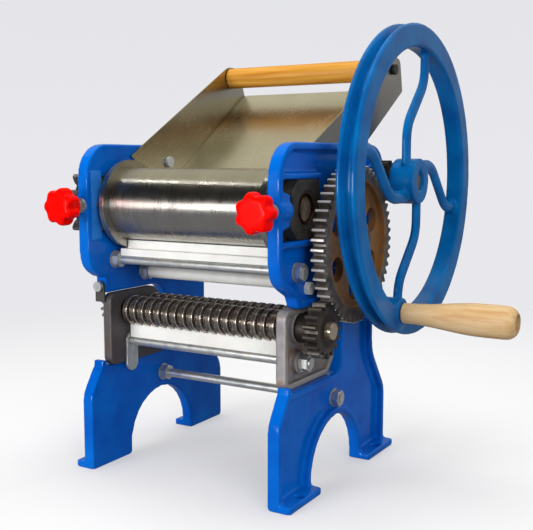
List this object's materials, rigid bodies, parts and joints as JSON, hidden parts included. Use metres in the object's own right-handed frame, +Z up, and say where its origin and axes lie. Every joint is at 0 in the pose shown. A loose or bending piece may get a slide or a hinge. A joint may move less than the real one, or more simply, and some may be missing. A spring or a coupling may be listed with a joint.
{
  "type": "noodle press",
  "caption": "Hand-cranked noodle press: cast side frames, geared sheeting rollers, drop-in cutter rollers, sheet hopper with wooden bar, and a spoked handwheel with wooden handle.",
  "frame": {"origin": "on the bench, at the centre of the four foot bolt holes", "axes": "+X towards the handwheel, +Y to the back under the hopper, +Z up"},
  "size_m": [0.3737, 0.3335, 0.3918],
  "materials": {
    "blue_enamel": "gloss",
    "wheel_enamel": "gloss",
    "ground_steel": "ground",
    "machined_steel": "machined",
    "gear_steel": "machined teeth, oiled",
    "zinc_plate": "bright zinc",
    "dark_iron": "as cast",
    "bronze": "sintered",
    "white_nylon": "satin",
    "red_phenolic": "gloss",
    "sheet_steel": "rolled",
    "varnished_wood": "varnished",
    "beech": "oiled"
  },
  "bodies": {
    "frame": {"left_frame": "blue_enamel", "right_frame": "blue_enamel", "tie_rods": "zinc_plate", "tie_rod_nuts": "zinc_plate", "tie_rod_washers": "zinc_plate", "rear_roller_bushes": "bronze", "crank_bushes": "bronze", "roller_scraper": "white_nylon", "left_cutter_plate": "dark_iron", "right_cutter_plate": "dark_iron", "cutter_bushes": "bronze", "cutter_rod": "zinc_plate", "cutter_rod_nuts": "zinc_plate", "noodle_comb": "white_nylon", "latch_screw": "zinc_plate", "hopper_floor": "sheet_steel", "hopper_left_wall": "sheet_steel", "hopper_right_wall": "sheet_steel", "hopper_screws": "zinc_plate", "wooden_bar": "varnished_wood", "bar_screws": "zinc_plate"},
    "crank": {"crank_shaft": "machined_steel", "crank_pinion": "gear_steel", "handwheel": "wheel_enamel", "wheel_key": "machined_steel", "shaft_collar": "machined_steel", "handle_spindle": "machined_steel"},
    "handle": {"wooden_handle": "beech"},
    "rear_roller": {"rear_roller": "ground_steel", "rear_roller_shaft": "machined_steel", "rear_sync_gear": "gear_steel", "drive_gear": "gear_steel", "drive_gear_key": "machined_steel"},
    "carriage": {"front_bearing_blocks": "dark_iron", "front_roller_bushes": "bronze"},
    "front_roller": {"front_roller": "ground_steel", "front_roller_discs": "ground_steel", "front_roller_shaft": "machined_steel", "front_sync_gear": "gear_steel"},
    "left_knob": {"left_knob": "red_phenolic", "left_adjusting_screw": "zinc_plate"},
    "right_knob": {"right_knob": "red_phenolic", "right_adjusting_screw": "zinc_plate"},
    "front_cutter": {"front_cutter_roller": "machined_steel", "cutter_gear": "gear_steel", "front_cutter_sync_gear": "gear_steel"},
    "rear_cutter": {"rear_cutter_roller": "machined_steel", "rear_cutter_sync_gear": "gear_steel"},
    "guide_tube": {"guide_tube": "white_nylon"},
    "link": {"hanging_link": "zinc_plate"},
    "latch": {"cutter_latch": "dark_iron"}
  },
  "joints": [
    {"name": "crank_turn", "type": "hinge", "parent": "frame", "child": "crank", "pos_m": [0, 0.06304, 0.25629], "axis": [1, 0, 0], "continuous": true},
    {"name": "rear_roller_turn", "type": "hinge", "parent": "frame", "child": "rear_roller", "pos_m": [0, 0.00044, 0.2045], "axis": [1, 0, 0], "continuous": true},
    {"name": "carriage_slide", "type": "slide", "parent": "frame", "child": "carriage", "axis": [0, -1, 0], "range_m": [0, 0.0025]},
    {"name": "front_roller_turn", "type": "hinge", "parent": "carriage", "child": "front_roller", "pos_m": [0, -0.05641, 0.23601], "axis": [1, 0, 0], "continuous": true},
    {"name": "front_cutter_turn", "type": "hinge", "parent": "frame", "child": "front_cutter", "pos_m": [0, -0.0566, 0.1398], "axis": [1, 0, 0], "continuous": true},
    {"name": "rear_cutter_turn", "type": "hinge", "parent": "frame", "child": "rear_cutter", "pos_m": [0, -0.0326, 0.1398], "axis": [1, 0, 0], "continuous": true},
    {"name": "left_knob_turn", "type": "hinge", "parent": "frame", "child": "left_knob", "pos_m": [-0.0955, -0.102, 0.23601], "axis": [0, 1, 0], "range_deg": [0, 720]},
    {"name": "right_knob_turn", "type": "hinge", "parent": "frame", "child": "right_knob", "pos_m": [0.0955, -0.102, 0.23601], "axis": [0, 1, 0], "range_deg": [0, 720]},
    {"name": "handle_turn", "type": "hinge", "parent": "crank", "child": "handle", "pos_m": [0.2, 0.02297, 0.14498], "axis": [1, 0, 0], "continuous": true},
    {"name": "guide_tube_turn", "type": "hinge", "parent": "frame", "child": "guide_tube", "pos_m": [0, -0.0265, 0.1713], "axis": [1, 0, 0], "continuous": true},
    {"name": "link_swing", "type": "hinge", "parent": "frame", "child": "link", "pos_m": [-0.08335, -0.0545, 0.111], "axis": [1, 0, 0], "range_deg": [-90, 90]},
    {"name": "latch_swing", "type": "hinge", "parent": "frame", "child": "latch", "pos_m": [-0.0955, -0.0819, 0.163], "axis": [0, 1, 0], "range_deg": [0, 90]}
  ],
  "couplings": [
    {"joint": "rear_roller_turn", "follows": "crank_turn", "ratio": -0.25},
    {"joint": "front_roller_turn", "follows": "crank_turn", "ratio": 0.25},
    {"joint": "front_cutter_turn", "follows": "crank_turn", "ratio": 0.76471},
    {"joint": "rear_cutter_turn", "follows": "crank_turn", "ratio": -0.76471},
    {"joint": "left_knob_turn", "follows": "carriage_slide", "rad_per_m": 5026.5},
    {"joint": "right_knob_turn", "follows": "carriage_slide", "rad_per_m": 5026.5}
  ]
}
